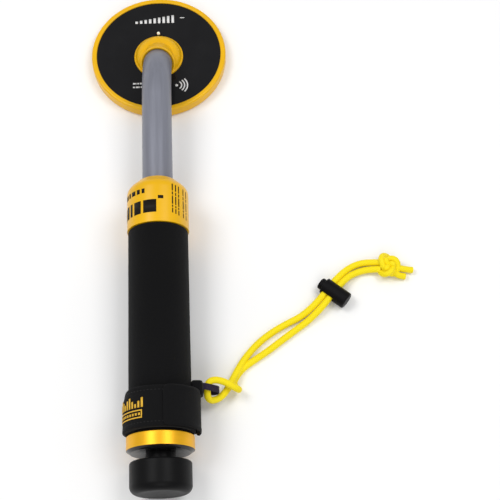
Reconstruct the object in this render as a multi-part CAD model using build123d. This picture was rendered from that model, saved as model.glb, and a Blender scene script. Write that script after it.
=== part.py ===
from build123d import *
import os
from math import cos, radians, sin, tan

# Pinpointer probe for underwater use. Millimetres, +Z up.
# Origin: centre of the coil head's flat underside, which lies on the table at z = 0.
# The handle runs from the head towards -Y and droops until its end ring meets the table.
# "u" is the distance along the handle's axis, counted from above the head's centre.

# ---- driving dimensions: coil head ----
HEAD_R = 60.0
HEAD_H = 12.0
HEAD_FLOOR = 2.2
RIM_WIDTH = 4.6
FACE_TOP = 10.8
FACE_THICK = 1.6
HUB_R = 21.8
HUB_Y = -3.2
HUB_TOP = 12.6
SPIGOT_R = 20.5
SOCKET_ANGLE = 40.0
SOCKET_LENGTH = 21.0
SOCKET_LIP_R = 15.3
SOCKET_MOUTH_R = 14.0
SOCKET_MOUTH_DEEP = 1.5
LED_R = 1.5
LED_Y = HUB_Y + 24.4

# ---- driving dimensions: pipe ----
PIPE_R = 12.5
PIPE_BORE_R = 10.3
PIPE_START = 12.0
BEND_R = 60.0
GLUE_GAP = 0.05

# ---- driving dimensions: handle, stations along u ----
DROOP = 3.0
U_COLLAR = 146.0
U_PIPE_END = 166.0
U_TUBE = 170.2
U_GRIP = 190.2
U_CHASSIS = 191.0
U_BATTERY = 252.0
U_BULKHEAD = 305.5
U_STRAP = 324.0
U_RING = 357.5
U_FACE = 368.0
U_FACE_END = 370.0
U_KNOB = 376.6
U_KNOB_END = 400.5
STEM_END = 392.0
COLLAR_R = 25.0
NOSE_R = 15.6
NOSE_LONG = 8.6
TUBE_R = 21.0
TUBE_BORE_R = 18.5
GRIP_R = 24.25
RING_R = 26.0
STRAP_WIDTH = 31.2
TAB_LONG = 9.0
NECK_R = 11.3
THREAD_R = 9.0
THREAD_PITCH = 2.0
KNOB_R = 23.65
RUN_GAP = 0.05
BATTERY_X, BATTERY_V, BATTERY_LONG = 26.5, 17.5, 48.5
BOARD_BOTTOM = 3.0
BOARD_THICK = 1.6
MOTOR_V = -8.0
MOTOR_R = 6.0

# ---- driving dimensions: webbing loop, cord and cord lock ----
LOOP_CENTRE = (36.9, -318.0, 18.9)
LOOP_DIP = 42.0
CORD_R = 2.75
LOCK_CENTRE = (141.7, -236.2, 7.0)
LOCK_HEADING = -40.0
LOCK_R = 7.0
LOCK_BORE_R = 4.95
BUTTON_R = 4.88
BUTTON_TRAVEL = 2.5
KNOT_CENTRE = (187.6, -213.6, 6.8)
KNOT_R = 9.2
KNOT_H = 6.6

# Routes of the cord's two legs. Both start inside the webbing loop, where the hitch is tied,
# and lie on the table from there to the knot, but for the lock that they pass through.
LEG_A = [
    (36.2, -318.0, 19.4), (35.6, -322.8, 17.6), (37.8, -325.6, 13.8), (42.6, -324.6, 10.9),
    (47.8, -320.8, 9.7), (52.2, -314.9, 8.9), (55.8, -307.8, 8.0), (60.5, -298.6, 6.0),
    (66.8, -288.0, 3.6), (76.5, -276.8, 2.9), (88.5, -267.4, 2.75), (101.0, -260.3, 2.75),
    (114.0, -254.4, 3.3), (126.0, -244.9, 6.4), (137.0, -232.0, 7.0), (148.0, -219.5, 6.0),
    (158.5, -211.4, 3.6), (170.0, -208.4, 3.6), (181.5, -210.6, 6.5),
]
LEG_B = [
    (36.2, -318.0, 19.4), (36.6, -313.4, 20.4), (41.0, -311.0, 20.6), (47.4, -311.8, 19.6),
    (53.4, -314.4, 17.8), (58.8, -317.0, 14.8), (61.0, -316.8, 10.2), (58.6, -314.2, 6.0),
    (56.4, -309.0, 3.6), (59.4, -302.6, 2.9), (65.2, -296.0, 2.75), (74.5, -289.8, 2.8),
    (85.0, -283.0, 2.75), (96.0, -274.8, 2.75), (107.0, -266.8, 2.75), (118.5, -258.9, 3.2),
    (130.2, -248.8, 6.4), (141.2, -235.5, 7.0), (152.2, -223.1, 6.0), (161.5, -217.4, 3.6),
    (171.5, -215.1, 3.6), (181.5, -216.4, 6.5),
]
TAILS = [
    ((194.0, -215.9, 5.8), (207.0, -216.8, 3.0)),
    ((192.0, -220.8, 4.4), (201.4, -222.8, 2.9)),
]

# The handle's axis passes HANDLE_Z above the head's centre, so that the ring's rear edge
# is at z = 0. z is up the handle's own axis in the handle's frame, and y is its upper side.
AXIS_DIR = (0, -cos(radians(DROOP)), -sin(radians(DROOP)))
HANDLE_Z = RING_R * cos(radians(DROOP)) + U_FACE * sin(radians(DROOP))
HANDLE = Plane(origin=(0, 0, HANDLE_Z), x_dir=(1, 0, 0), z_dir=AXIS_DIR).location

SOCKET_DIR = (0, -cos(radians(SOCKET_ANGLE)), sin(radians(SOCKET_ANGLE)))
SOCKET = Plane(origin=(0, HUB_Y, FACE_TOP), x_dir=(1, 0, 0), z_dir=SOCKET_DIR).location

LOCK = Location(LOCK_CENTRE, (0, 0, LOCK_HEADING))


def turned(points):
    """A solid of revolution about Z from a closed outline of (radius, height) points."""
    return revolve(Plane.XZ * make_face(Polyline(*points, close=True)), Axis.Z)


def tube(outer, inner, low, high):
    """A plain ring between two heights."""
    return turned([(inner, low), (outer, low), (outer, high), (inner, high)])


def rod(radius, low, high, x=0.0, y=0.0):
    return Pos(x, y, (low + high) / 2) * Cylinder(radius, high - low)


def block(x0, x1, y0, y1, z0, z1):
    return Pos((x0 + x1) / 2, (y0 + y1) / 2, (z0 + z1) / 2) * Box(x1 - x0, y1 - y0, z1 - z0)


def o_ring(centre_r, section_r, height):
    return Pos(0, 0, height) * Torus(centre_r, section_r)


def rim_edges(part, radius, height):
    """The full-circle edges about Z with this radius and height."""
    return [
        edge for edge in part.edges().filter_by(GeomType.CIRCLE)
        if abs(edge.radius - radius) < 0.01 and abs(edge.arc_center.Z - height) < 0.01
    ]


def coil_of(radius, wire_r, low, high, turns):
    """A helical spring about Z, with its wire between the two heights."""
    rise = high - low - 2 * wire_r
    path = Pos(0, 0, low + wire_r) * Helix(rise / turns, rise, radius)
    return sweep(Plane(origin=path @ 0, z_dir=path % 0) * Circle(wire_r), path)


def corner_radii(points):
    """One radius for each corner: 0.45 of the shorter run over the tangent of half the turn."""
    radii = []
    for before, here, after in zip(points, points[1:], points[2:]):
        run_in = Vector(*here) - Vector(*before)
        run_out = Vector(*after) - Vector(*here)
        turn = run_in.get_angle(run_out)
        radii.append(0.45 * min(run_in.length, run_out.length) / tan(radians(turn / 2)))
    return radii


def cord(points, radius):
    """A tube along straight runs joined by tangent arcs."""
    path = FilletPolyline(*points, radius=corner_radii(points))
    return sweep(Plane(origin=path @ 0, z_dir=path % 0) * Circle(radius), path)


# ---------------------------------------------------------------- coil head
def coil_shell():
    ledge_z = FACE_TOP - FACE_THICK
    ledge_r = HEAD_R - RIM_WIDTH - 2.0
    recess_r = HEAD_R - RIM_WIDTH + GLUE_GAP
    shell = turned([
        (0, 0), (HEAD_R, 0), (HEAD_R, HEAD_H), (recess_r, HEAD_H), (recess_r, ledge_z),
        (ledge_r, ledge_z), (ledge_r, HEAD_FLOOR), (0, HEAD_FLOOR),
    ])
    shell = fillet(rim_edges(shell, HEAD_R, 0), 3.0)
    shell = fillet(rim_edges(shell, HEAD_R, HEAD_H), 1.8)
    return fillet(rim_edges(shell, recess_r, HEAD_H), 0.8)


def coil_face_plate():
    plate = rod(HEAD_R - RIM_WIDTH, FACE_TOP - FACE_THICK, FACE_TOP)
    plate -= rod(SPIGOT_R + GLUE_GAP, 0, HEAD_H, y=HUB_Y)
    return plate - rod(LED_R + 0.3, 0, HEAD_H, y=LED_Y)


def coil_former():
    return turned([
        (43, 2.3), (52.8, 2.3), (52.8, 3.6), (45.5, 3.6), (45.5, 7.6), (52.8, 7.6), (52.8, 8.9),
        (43, 8.9),
    ])


def coil_winding():
    return tube(51.6, 45.6, 3.7, 7.5)


def coil_potting():
    potting = rod(42.9, 2.3, 8.9) - rod(21.2, 0, HEAD_H, y=HUB_Y)
    return potting - rod(LED_R + 0.6, 0, HEAD_H, y=LED_Y)


def hub_socket():
    spigot = rod(SPIGOT_R, 6.5, FACE_TOP, y=HUB_Y)
    flange = rod(HUB_R, FACE_TOP, HUB_TOP, y=HUB_Y)
    flange = fillet(rim_edges(flange, HUB_R, HUB_TOP), 0.9)
    # a concave flare rises from the flange to the sides of the socket
    flare_line = Polyline((0, HUB_TOP), (HUB_R - 1.2, HUB_TOP)) + RadiusArc(
        (HUB_R - 1.2, HUB_TOP), (13.4, 20.0), -11.0)
    flare_line += Polyline((13.4, 20.0), (0, 20.0), (0, HUB_TOP))
    flare = Pos(0, HUB_Y, 0) * revolve(Plane.XZ * make_face(flare_line), Axis.Z)
    barrel = turned([
        (0, 2), (13.9, 2), (13.9, SOCKET_LENGTH - 3.4), (SOCKET_LIP_R, SOCKET_LENGTH - 2.2),
        (SOCKET_LIP_R, SOCKET_LENGTH), (0, SOCKET_LENGTH),
    ])
    barrel = fillet(rim_edges(barrel, SOCKET_LIP_R, SOCKET_LENGTH), 0.8)
    above_face = block(-40, 40, -60, 40, FACE_TOP, 60)
    raised = (SOCKET * barrel + flare) & above_face
    hub = spigot + flange + raised
    hub -= SOCKET * rod(PIPE_R + GLUE_GAP, PIPE_START, 40)
    hub -= SOCKET * rod(3.2, -20, PIPE_START + 1)
    hub -= SOCKET * tube(13.85, PIPE_R, SOCKET_LENGTH - 3.6, SOCKET_LENGTH - 2.2)
    # the mouth is countersunk
    mouth_floor = SOCKET_LENGTH - SOCKET_MOUTH_DEEP
    hub -= SOCKET * turned([
        (0, mouth_floor), (PIPE_R + GLUE_GAP, mouth_floor), (SOCKET_MOUTH_R, SOCKET_LENGTH),
        (0, SOCKET_LENGTH),
    ])
    return hub - rod(LED_R + 0.9, FACE_TOP, 30, y=LED_Y)


def socket_seal():
    return SOCKET * o_ring(PIPE_R + 0.68, 0.64, SOCKET_LENGTH - 2.9)


def indicator_led():
    body = rod(LED_R, 6.0, HUB_TOP, y=LED_Y)
    return body + Pos(0, LED_Y, HUB_TOP) * Sphere(LED_R)


# ---------------------------------------------------------------- pipe and lead
def pipe_line(start, end):
    """The pipe's centre line: straight out of the socket, one bend, straight along the handle."""
    rise_angle, fall_angle = radians(SOCKET_ANGLE), radians(DROOP)
    bend_rise = BEND_R * (cos(fall_angle) - cos(rise_angle))
    bend_run = BEND_R * (sin(rise_angle) + sin(fall_angle))
    gap = HANDLE_Z - FACE_TOP - bend_rise + tan(fall_angle) * (HUB_Y - bend_run)
    straight = gap / (sin(rise_angle) + tan(fall_angle) * cos(rise_angle))
    first = Vector(0, HUB_Y, FACE_TOP) + Vector(*SOCKET_DIR) * start
    bend_start = Vector(0, HUB_Y, FACE_TOP) + Vector(*SOCKET_DIR) * straight
    bend_end = bend_start + Vector(0, -bend_run, bend_rise)
    last = Vector(0, 0, HANDLE_Z) + Vector(*AXIS_DIR) * end
    bend = TangentArc(bend_start, bend_end, tangent=Vector(*SOCKET_DIR))
    return Wire([Line(first, bend_start).edge(), bend.edge(), Line(bend_end, last).edge()])


def along(path, outer, inner=0.0):
    section = Circle(outer)
    if inner:
        section -= Circle(inner)
    return sweep(Plane(origin=path @ 0, z_dir=path % 0) * section, path)


def bent_pipe():
    return along(pipe_line(PIPE_START, U_PIPE_END), PIPE_R, PIPE_BORE_R)


def coil_lead():
    return along(pipe_line(-9.0, U_CHASSIS + 5.0), 2.2)


# ---------------------------------------------------------------- handle shell
def front_collar():
    # the nose is a short cone, well rounded where it meets the barrel
    shoulder = U_COLLAR + NOSE_LONG
    collar = turned([
        (PIPE_R + GLUE_GAP, U_COLLAR), (NOSE_R, U_COLLAR), (COLLAR_R, shoulder),
        (COLLAR_R, U_GRIP - 0.2), (TUBE_R + GLUE_GAP, U_GRIP - 0.2), (TUBE_R + GLUE_GAP, U_TUBE),
        (PIPE_BORE_R, U_TUBE), (PIPE_BORE_R, U_PIPE_END), (PIPE_R + GLUE_GAP, U_PIPE_END),
    ])
    collar = fillet(rim_edges(collar, COLLAR_R, shoulder), 9.0)
    collar = fillet(rim_edges(collar, NOSE_R, U_COLLAR), 1.5)
    return collar - tube(13.9, PIPE_R, 155.0, 156.6)


def pipe_seal():
    return o_ring(PIPE_R + 0.72, 0.66, 155.8)


def housing_tube():
    shell = tube(TUBE_R, TUBE_BORE_R, U_TUBE, U_RING + 4.5)
    return shell - tube(TUBE_R + 1, TUBE_R - 1.0, 176.0, 177.4)


def collar_seal():
    return o_ring(TUBE_R - 0.48, 0.5, 176.7)


def grip_sleeve():
    sleeve = tube(GRIP_R, TUBE_R + GLUE_GAP, U_GRIP, U_RING - 0.2)
    ends = rim_edges(sleeve, GRIP_R, U_GRIP) + rim_edges(sleeve, GRIP_R, U_RING - 0.2)
    return fillet(ends, 0.9)


def end_ring():
    ring = tube(RING_R, TUBE_R + GLUE_GAP, U_RING, U_FACE)
    return fillet(rim_edges(ring, RING_R, U_RING), 0.7)


def end_plate():
    plate = turned([
        (NECK_R + 0.1, U_FACE_END), (23.0, U_FACE_END), (RING_R - 0.05, U_FACE), (TUBE_R, U_FACE),
        (TUBE_R, U_RING + 4.6), (TUBE_BORE_R - 0.05, U_RING + 4.6), (TUBE_BORE_R - 0.05, 340.0),
        (THREAD_R + RUN_GAP, 340.0), (THREAD_R + RUN_GAP, 349.3), (NECK_R + 0.1, 349.3),
    ])
    return plate - tube(TUBE_BORE_R, TUBE_BORE_R - 1.2, 346.0, 347.5)


def plug_seal():
    return o_ring(TUBE_BORE_R - 0.62, 0.56, 346.75)


# ---------------------------------------------------------------- knob
def knob_stem():
    # the thread is drawn as rings one pitch apart
    thread = [(5.0, 330.0), (5.0, 333.0), (THREAD_R - 1.0, 334.0)]
    for turn in range(9):
        start = 334.6 + turn * THREAD_PITCH
        thread += [(THREAD_R - 0.6, start), (THREAD_R, start + 0.8), (THREAD_R, start + 1.2)]
    outline = [(0, 330.0)] + thread + [
        (THREAD_R - 0.8, 352.6), (NECK_R, 353.4), (NECK_R, STEM_END), (0, STEM_END),
    ]
    stem = turned(outline) - rod(2.05, 329, 338)
    for groove in (357.0, 362.0):
        stem -= tube(NECK_R + 1, NECK_R - 1.0, groove, groove + 1.4)
    return stem


def knob_seals():
    return o_ring(NECK_R - 0.48, 0.5, 357.7) + o_ring(NECK_R - 0.48, 0.5, 362.7)


def control_knob():
    knob = turned([
        (NECK_R, U_KNOB), (KNOB_R, U_KNOB), (KNOB_R, U_KNOB_END), (0, U_KNOB_END), (0, STEM_END),
        (NECK_R, STEM_END),
    ])
    knob = fillet(rim_edges(knob, KNOB_R, U_KNOB), 1.8)
    return fillet(rim_edges(knob, KNOB_R, U_KNOB_END), 6.0)


# ---------------------------------------------------------------- power switch
def switch_plunger():
    head = rod(7.0, 326.9, 329.9)
    head = fillet(rim_edges(head, 7.0, 326.9), 0.5)
    return head + rod(2.5, 314.0, 327.0) + rod(2.0, 329.9, 335.0)


def switch_spring():
    return coil_of(4.2, 0.4, 319.3, 326.8, 4.0)


def switch_block():
    body = block(-8, 8, -7, 7, 309.0, 319.2)
    body = fillet(body.edges().filter_by(Axis.Z), 1.2)
    return body - rod(2.55, 310.5, 320)


def switch_terminals():
    blades = [block(x - 0.4, x + 0.4, -10.5, -7.0, 311.5, 314.5) for x in (-5, 0, 5)]
    return Compound(blades)


def rear_bulkhead():
    disc = rod(TUBE_BORE_R - 0.1, U_BULKHEAD, U_BULKHEAD + 3.4)
    return disc - rod(2.2, 300, 312, x=12.0, y=-9.0)


# ---------------------------------------------------------------- battery
def battery_block():
    half_x, half_v = BATTERY_X / 2, BATTERY_V / 2
    body = block(-half_x, half_x, -half_v, half_v, U_BATTERY, U_BATTERY + BATTERY_LONG)
    return fillet(body.edges().filter_by(Axis.Z), 2.0)


def battery_studs():
    male = rod(2.9, U_BATTERY - 3.2, U_BATTERY, x=-6.35)
    female = rod(4.0, U_BATTERY - 3.2, U_BATTERY, x=6.35)
    female -= rod(2.9, U_BATTERY - 4, U_BATTERY - 0.8, x=6.35)
    return Compound([male, female])


def battery_snap():
    plate = block(-13, 13, -6.2, 6.2, 245.5, U_BATTERY - 1.0)
    plate = fillet(plate.edges().filter_by(Axis.Z), 3.0)
    for x in (-6.35, 6.35):
        plate -= rod(4.05, 248.6, U_BATTERY, x=x)
    return plate


def battery_cradle():
    floor = block(-14.6, 14.6, -10.4, -BATTERY_V / 2 - 0.1, 242.6, U_BULKHEAD)
    walls = floor
    for side in (-1, 1):
        walls += block(*sorted((side * 13.4, side * 14.6)), -10.4, 2.0, U_BATTERY - 2, 303.0)
    return walls + block(-13.4, 13.4, -10.4, 5.0, 301.0, 303.0)


def battery_leads():
    ends = [rod(0.8, 236.9, 245.5, x=x) for x in (-4, 4)]
    return Compound(ends)


# ---------------------------------------------------------------- electronics
def chassis():
    front = rod(TUBE_BORE_R - 0.1, U_CHASSIS, U_CHASSIS + 2.5) - rod(2.3, 180, 200)
    middle = rod(TUBE_BORE_R - 0.1, 240.0, 242.5) - block(-9, 9, -4, 4, 230, 250)
    frame = front + middle
    for side in (-1, 1):
        rail = block(*sorted((side * 14.2, side * 17.0)), 0.4, BOARD_BOTTOM, U_CHASSIS + 2.4, 240.1)
        for u in (197.0, 236.0):
            rail -= Pos(side * 15.5, 1.9, u) * Rot(90, 0, 0) * Cylinder(0.7, 2.3)
        frame += rail
    return frame


def circuit_board():
    board = block(-16.6, 16.6, BOARD_BOTTOM, BOARD_BOTTOM + BOARD_THICK, U_CHASSIS + 2.8, 239.7)
    for x in (-15.5, 15.5):
        for u in (197.0, 236.0):
            board -= Pos(x, BOARD_BOTTOM, u) * Rot(90, 0, 0) * Cylinder(0.9, 6)
    return board


def board_screws():
    screws = []
    top = BOARD_BOTTOM + BOARD_THICK
    for x in (-15.5, 15.5):
        for u in (197.0, 236.0):
            shank = Pos(x, top - 1.5, u) * Rot(90, 0, 0) * Cylinder(0.7, 3.0)
            head = Pos(x, top + 0.5, u) * Rot(90, 0, 0) * Cylinder(1.1, 1.0)
            screws.append(shank + head)
    return Compound(screws)


def board_chips():
    top = BOARD_BOTTOM + BOARD_THICK
    # across, station, width, length, height
    sizes = [
        (-6, 203, 10, 7, 1.6), (6, 214, 7, 7, 1.2), (-7, 226, 6, 9, 1.6), (8, 230, 5, 6, 1.5),
    ]
    return Compound([
        block(x - w / 2, x + w / 2, top, top + tall, u - length / 2, u + length / 2)
        for x, u, w, length, tall in sizes
    ])


def board_capacitors():
    top = BOARD_BOTTOM + BOARD_THICK
    cans = []
    for x, u in ((7, 200), (11, 207), (1, 221), (-11, 214)):
        cans.append(Pos(x, top + 3.5, u) * Rot(90, 0, 0) * Cylinder(2.4, 7.0))
    return Compound(cans)


def coil_connector():
    return block(-6, 6, -3.4, BOARD_BOTTOM, U_CHASSIS + 5.0, U_CHASSIS + 12.0)


def power_connector():
    return block(-8, 8, -2.6, BOARD_BOTTOM, 230.6, 236.9)


# ---------------------------------------------------------------- vibration motor
def vibration_motor():
    can = rod(MOTOR_R, 213.0, 228.5, y=MOTOR_V)
    return can - rod(1.05, 212, 221, y=MOTOR_V)


def motor_clamp():
    clamp = block(-7.6, 7.6, MOTOR_V - 7.4, BOARD_BOTTOM, 218.0, 224.0)
    return clamp - rod(MOTOR_R + GLUE_GAP, 210, 230, y=MOTOR_V)


def motor_shaft():
    return rod(1.0, 205.6, 220.5, y=MOTOR_V)


def eccentric_weight():
    disc = Pos(0, MOTOR_V, 0) * (rod(5.0, 206.2, 211.6) & block(-6, 6, -6, 0.8, 200, 215))
    disc += rod(2.2, 206.2, 211.6, y=MOTOR_V)
    return disc - rod(1.0, 200, 215, y=MOTOR_V)


# ---------------------------------------------------------------- wrist strap on the grip
def strap_layer(inner, outer, keep=None):
    """A layer of strap between two circles given as (centre x, centre v, radius)."""
    layer = Pos(outer[0], outer[1]) * Circle(outer[2]) - Pos(inner[0], inner[1]) * Circle(inner[2])
    body = Pos(0, 0, U_STRAP) * extrude(layer, STRAP_WIDTH)
    return body & keep if keep else body


# Each turn of the strap has an outline of its own: centre across, centre up, radius.
BAND_IN = (0, 0, GRIP_R + 0.02)
BAND_OUT = (-0.9, 1.2, 27.5)
PATCH_OUT = (0.4, 1.1, 28.2)
FLAP_OUT = (1.6, 1.0, 29.0)
FLAP_REGION = (5, 40, -16.5, 40, 300, 360)


def strap_band():
    return strap_layer(BAND_IN, BAND_OUT)


def strap_hook_patch():
    return strap_layer(BAND_OUT, PATCH_OUT, block(*FLAP_REGION))


def strap_flap():
    return strap_layer(PATCH_OUT, FLAP_OUT, block(*FLAP_REGION))


def strap_tab():
    # a fold in front of the flap that carries the webbing loop
    tab = block(24.8, 32.6, -5.0, 5.4, U_STRAP - TAB_LONG, U_STRAP)
    return fillet(tab.edges().filter_by(Axis.X), 2.5)


def strap_loop():
    # the webbing stands on edge: its slot lies across the handle and dips away from it
    outer, inner = SlotOverall(20.0, 9.8), SlotOverall(17.2, 7.0)
    loop = Plane.XZ * extrude(outer - inner, 2.8, both=True)
    return Pos(*LOOP_CENTRE) * Rot(0, LOOP_DIP, 0) * loop


# ---------------------------------------------------------------- cord
def cord_knot():
    lump = Cylinder(KNOT_R, 2 * KNOT_H)
    return Pos(*KNOT_CENTRE) * fillet(lump.edges().filter_by(GeomType.CIRCLE), KNOT_H - 0.4)


def cord_tails():
    return Compound([cord_piece(*ends) for ends in TAILS])


def cord_piece(start, end):
    line = Line(start, end)
    return sweep(Plane(origin=line @ 0, z_dir=line % 0) * Circle(CORD_R), line.edge())


# ---------------------------------------------------------------- cord lock
# The lock's own x runs along its barrel, button end first, and y along the cords.
def lying(shape):
    """A shape made about Z, laid so that its Z runs along the lock's x."""
    return LOCK * Rot(0, 90, 0) * shape


def lock_barrel():
    body = turned([
        (0, 12.4), (LOCK_R, 12.4), (LOCK_R, -10.6), (LOCK_BORE_R, -10.6), (LOCK_BORE_R, 10.2),
        (0, 10.2),
    ])
    body = fillet(rim_edges(body, LOCK_R, 12.4), 1.6)
    body = fillet(rim_edges(body, LOCK_R, -10.6), 0.8)
    return lying(body) - LOCK * block(-9.3, 2.4, -20, 20, -3.2, 3.2)


def lock_button():
    button = rod(BUTTON_R, -14.6, 5.0)
    button = fillet(rim_edges(button, BUTTON_R, -14.6), 1.4)
    return lying(button) - LOCK * block(-9.3 - BUTTON_TRAVEL, 2.4, -20, 20, -3.2, 3.2)


def lock_spring():
    return lying(coil_of(3.2, 0.35, 5.05, 10.15, 3.0))


ROW_FRAME = [
    coil_shell, coil_face_plate, coil_former, coil_winding, coil_potting, hub_socket, socket_seal,
    indicator_led, bent_pipe, coil_lead, strap_loop, cord_knot, cord_tails,
    lock_barrel, lock_button, lock_spring,
]
HANDLE_FRAME = [
    front_collar, pipe_seal, housing_tube, collar_seal, grip_sleeve, end_ring, end_plate, plug_seal,
    knob_stem, knob_seals, control_knob, switch_plunger, switch_spring, switch_block,
    switch_terminals, rear_bulkhead, battery_block, battery_studs, battery_snap, battery_cradle,
    battery_leads, chassis, circuit_board, board_screws, board_chips, board_capacitors,
    coil_connector, power_connector, vibration_motor, motor_clamp, motor_shaft, eccentric_weight,
    strap_band, strap_hook_patch, strap_flap, strap_tab,
]

os.makedirs("parts", exist_ok=True)
nodes = {make.__name__: make() for make in ROW_FRAME}
nodes.update({make.__name__: HANDLE * make() for make in HANDLE_FRAME})
for name, route in (("cord_leg_a", LEG_A), ("cord_leg_b", LEG_B)):
    nodes[name] = cord(route, CORD_R)
    print(name, "corner radii", [round(radius, 1) for radius in corner_radii(route)])
for name, shape in nodes.items():
    export_step(shape, f"parts/{name}.step")
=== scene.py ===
"""Looks of a pulse pinpointer probe: finishes for its parts, its soft pieces and a plain stage."""

from math import acos, cos, pi, radians, sin, sqrt

import bmesh
import bpy
from bpy.props import FloatProperty, FloatVectorProperty, IntProperty, PointerProperty
from bpy.types import Operator, Panel, PropertyGroup
from mathutils import Matrix, Vector, noise


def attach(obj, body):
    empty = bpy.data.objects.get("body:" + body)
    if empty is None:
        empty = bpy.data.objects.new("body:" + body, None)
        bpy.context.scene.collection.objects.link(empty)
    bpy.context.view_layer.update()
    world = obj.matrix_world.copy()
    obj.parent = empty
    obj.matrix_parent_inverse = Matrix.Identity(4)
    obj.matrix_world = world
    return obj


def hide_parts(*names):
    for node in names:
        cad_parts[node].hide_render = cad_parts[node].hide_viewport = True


bl_info = {
    "name": "Pinpointer probe",
    "version": (1, 0, 0),
    "blender": (4, 5, 0),
    "location": "3D View > Sidebar > Pinpointer",
    "description": "Builds the finishes, soft pieces and stage of a pinpointer probe",
    "category": "Object",
}

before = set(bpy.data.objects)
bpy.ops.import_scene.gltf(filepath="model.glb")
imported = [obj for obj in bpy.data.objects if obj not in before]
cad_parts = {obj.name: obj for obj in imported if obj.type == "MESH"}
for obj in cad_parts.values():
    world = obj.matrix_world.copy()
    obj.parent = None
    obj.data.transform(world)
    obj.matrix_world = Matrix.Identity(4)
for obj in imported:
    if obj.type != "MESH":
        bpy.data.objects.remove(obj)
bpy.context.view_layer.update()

MM = 0.001

# The handle leans a little, because the probe stands on its head and its rear ring.
HANDLE_LEAN = radians(3)
REAR_RING_RADIUS = 26 * MM
REAR_RING_STATION = 368 * MM
HANDLE_HEIGHT = REAR_RING_RADIUS * cos(HANDLE_LEAN) + REAR_RING_STATION * sin(HANDLE_LEAN)

# Columns: across the handle, up from it, and along it from head to knob.
HANDLE = Matrix(
    (
        (1, 0, 0, 0),
        (0, -sin(HANDLE_LEAN), -cos(HANDLE_LEAN), 0),
        (0, cos(HANDLE_LEAN), -sin(HANDLE_LEAN), HANDLE_HEIGHT),
        (0, 0, 0, 1),
    )
)

# Every piece made here moves with the handle.
BODY = "handle"

# Stations along the handle and radii round it.
COLLAR_RADIUS = 25 * MM
GRIP_START, GRIP_END = 190.3 * MM, 357.2 * MM
STRAP_START, STRAP_END = 324 * MM, 355.2 * MM
TAB_START, TAB_END = 315 * MM, 327.2 * MM
GRIP_BORE = 21.1 * MM
FACE_TOP = 10.8 * MM
INDICATOR_STATION = 21.2 * MM

# Each turn of the strap: its centre across and up from the handle's axis, and its radius.
BAND_ROUND = (-0.9 * MM, 1.2 * MM, 27.5 * MM)
PATCH_ROUND = (0.4 * MM, 1.1 * MM, 28.2 * MM)
FLAP_ROUND = (1.6 * MM, 1.0 * MM, 28.9 * MM)

# The cord's two legs start inside the webbing loop, where they are hitched, and lie on the
# floor up to the knot, but for the lock that they pass through. Metres.
KNOT_CENTRE = (0.1876, -0.2136, 0.0068)
LEG_A = [
    (0.0362, -0.3180, 0.0194), (0.0356, -0.3228, 0.0176), (0.0378, -0.3256, 0.0138),
    (0.0426, -0.3246, 0.0109), (0.0478, -0.3208, 0.0097), (0.0522, -0.3149, 0.0089),
    (0.0558, -0.3078, 0.0080), (0.0605, -0.2986, 0.0060), (0.0668, -0.2880, 0.0036),
    (0.0765, -0.2768, 0.0029), (0.0885, -0.2674, 0.00275), (0.1010, -0.2603, 0.00275),
    (0.1140, -0.2544, 0.0033), (0.1260, -0.2449, 0.0064), (0.1370, -0.2320, 0.0070),
    (0.1480, -0.2195, 0.0060), (0.1585, -0.2114, 0.0036), (0.1700, -0.2084, 0.0036),
    (0.1815, -0.2106, 0.0065),
]
LEG_B = [
    (0.0362, -0.3180, 0.0194), (0.0366, -0.3134, 0.0204), (0.0410, -0.3110, 0.0206),
    (0.0474, -0.3118, 0.0196), (0.0534, -0.3144, 0.0178), (0.0588, -0.3170, 0.0148),
    (0.0610, -0.3168, 0.0102), (0.0586, -0.3142, 0.0060), (0.0564, -0.3090, 0.0036),
    (0.0594, -0.3026, 0.0029), (0.0652, -0.2960, 0.00275), (0.0745, -0.2898, 0.0028),
    (0.0850, -0.2830, 0.00275), (0.0960, -0.2748, 0.00275), (0.1070, -0.2668, 0.00275),
    (0.1185, -0.2589, 0.0032), (0.1302, -0.2488, 0.0064), (0.1412, -0.2355, 0.0070),
    (0.1522, -0.2231, 0.0060), (0.1615, -0.2174, 0.0036), (0.1715, -0.2151, 0.0036),
    (0.1815, -0.2164, 0.0065),
]
TAILS = [
    [(0.1935, -0.2150, 0.0062), (0.1985, -0.2162, 0.0054), (0.2030, -0.2166, 0.0042),
     (0.2078, -0.2170, 0.0031)],
    [(0.1915, -0.2186, 0.0050), (0.1948, -0.2212, 0.0044), (0.1982, -0.2220, 0.0034),
     (0.2014, -0.2224, 0.0029)],
]


def shade(red, green, blue):
    """A display colour, 0 to 255, as the linear colour that a shader takes."""
    def linear(value):
        value /= 255
        return value / 12.92 if value <= 0.04045 else ((value + 0.055) / 1.055) ** 2.4
    return (linear(red), linear(green), linear(blue))


# ------------------------------------------------------------------ settings


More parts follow.
